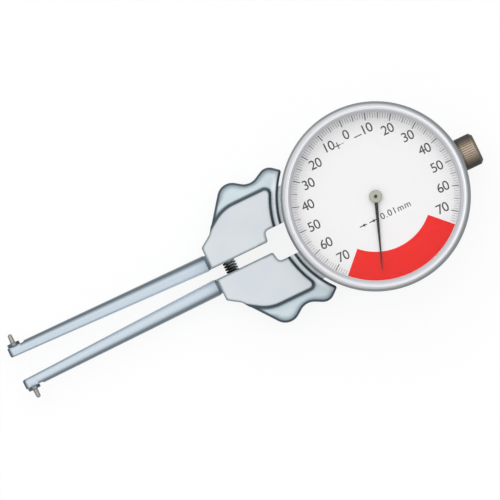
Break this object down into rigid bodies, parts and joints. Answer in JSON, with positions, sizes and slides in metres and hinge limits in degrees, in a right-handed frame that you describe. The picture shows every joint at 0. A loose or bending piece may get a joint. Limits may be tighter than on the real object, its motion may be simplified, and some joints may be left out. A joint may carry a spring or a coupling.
{
  "type": "dial caliper gauge",
  "caption": "Dial caliper gauge for bores: round dial on a case, two sprung lever handles, long tapered legs with outward contact points.",
  "frame": {"origin": "on the dial's axis, in the plane of the flat rear cover that the gauge lies on", "axes": "+X towards the knurled spindle cap, -X along the legs; +Y towards the upper lever; +Z out of the dial face"},
  "size_m": [0.1536, 0.057, 0.024],
  "materials": {
    "painted_case": "satin grey paint",
    "cover": "satin grey paint",
    "screw_steel": "machined steel",
    "pin_steel": "ground steel",
    "handle_cast": "satin silver grey enamel on a casting",
    "leg_chrome": "satin chrome plate",
    "contact_steel": "ground hardened steel",
    "spring_black": "black oxide spring wire",
    "spindle_steel": "ground steel",
    "spring_steel": "spring wire",
    "cap_knurl": "knurled steel, satin",
    "arbor_steel": "polished steel",
    "wheel_brass": "turned brass",
    "hub_brass": "dull green-gold brass",
    "hand_black": "matt black lacquer",
    "dial_white": "matt white printed dial",
    "ring_plastic": "light grey moulding",
    "crystal_clear": "clear polished",
    "bezel_chrome": "satin chrome plate"
  },
  "bodies": {
    "case_unit": {"case": "painted_case", "rear_cover": "cover", "rear_cover_screws": "screw_steel", "pivot_pins": "pin_steel", "handle_spring": "spring_black", "spindle_spring": "spring_steel", "spindle_cap": "cap_knurl", "hairspring": "spring_steel", "hairspring_stud": "wheel_brass", "movement_bridge": "wheel_brass", "bridge_pillars": "wheel_brass", "bridge_screws": "screw_steel"},
    "upper_lever": {"handle_upper": "handle_cast", "leg_upper": "leg_chrome", "contact_upper": "contact_steel", "leg_screw_upper": "screw_steel"},
    "lower_lever": {"handle_lower": "handle_cast", "leg_lower": "leg_chrome", "contact_lower": "contact_steel", "leg_screw_lower": "screw_steel"},
    "spindle_unit": {"spindle": "spindle_steel", "spindle_foot": "spindle_steel"},
    "first_gear": {"first_arbor": "arbor_steel", "first_wheel": "wheel_brass"},
    "second_gear": {"second_arbor": "arbor_steel", "second_wheel": "wheel_brass"},
    "hand_unit": {"centre_arbor": "arbor_steel", "hand_hub": "hub_brass", "hand": "hand_black"},
    "takeup_gear": {"takeup_arbor": "arbor_steel", "takeup_wheel": "wheel_brass", "hairspring_collet": "wheel_brass"},
    "bezel_unit": {"bezel": "bezel_chrome", "bezel_clip": "spring_steel", "dial_plate": "dial_white", "dial_ring": "ring_plastic", "crystal": "crystal_clear"}
  },
  "joints": [
    {"name": "upper_lever_turn", "type": "hinge", "parent": "case_unit", "child": "upper_lever", "pos_m": [-0.02, 0.012, 0.0058], "axis": [0, 0, 1], "range_deg": [0, 2], "stiffness_Nm_per_rad": 2.4, "springref_deg": -5.73, "deforming": ["handle_spring"]},
    {"name": "lower_lever_turn", "type": "hinge", "parent": "case_unit", "child": "lower_lever", "pos_m": [-0.02, -0.012, 0.0058], "axis": [0, 0, 1], "range_deg": [-2.02, 0]},
    {"name": "spindle_slide", "type": "slide", "parent": "case_unit", "child": "spindle_unit", "axis": [1, 0, 0], "range_m": [0, 0.000371], "deforming": ["spindle_spring"]},
    {"name": "first_gear_turn", "type": "hinge", "parent": "case_unit", "child": "first_gear", "pos_m": [0.012, -0.0026, 0.0124], "axis": [0, 0, 1], "range_deg": [-17.73, 0]},
    {"name": "second_gear_turn", "type": "hinge", "parent": "case_unit", "child": "second_gear", "pos_m": [0.00402, -0.01046, 0.0146], "axis": [0, 0, 1], "range_deg": [0, 147.73]},
    {"name": "hand_turn", "type": "hinge", "parent": "case_unit", "child": "hand_unit", "pos_m": [0, 0, 0.0146], "axis": [0, 0, 1], "range_deg": [-1231.12, 0]},
    {"name": "takeup_turn", "type": "hinge", "parent": "case_unit", "child": "takeup_gear", "pos_m": [-0.00509, 0.00509, 0.0146], "axis": [0, 0, 1], "range_deg": [0, 246.22], "deforming": ["hairspring"]},
    {"name": "bezel_turn", "type": "hinge", "parent": "case_unit", "child": "bezel_unit", "pos_m": [0, 0, 0.018], "axis": [0, 0, 1], "continuous": true}
  ],
  "couplings": [
    {"joint": "lower_lever_turn", "follows": "upper_lever_turn", "ratio": -1},
    {"joint": "spindle_slide", "follows": "upper_lever_turn", "m_per_rad": 0.010532},
    {"joint": "first_gear_turn", "follows": "upper_lever_turn", "ratio": -8.7763},
    {"joint": "second_gear_turn", "follows": "upper_lever_turn", "ratio": 73.136},
    {"joint": "hand_turn", "follows": "upper_lever_turn", "ratio": -609.47},
    {"joint": "takeup_turn", "follows": "upper_lever_turn", "ratio": 121.89}
  ]
}
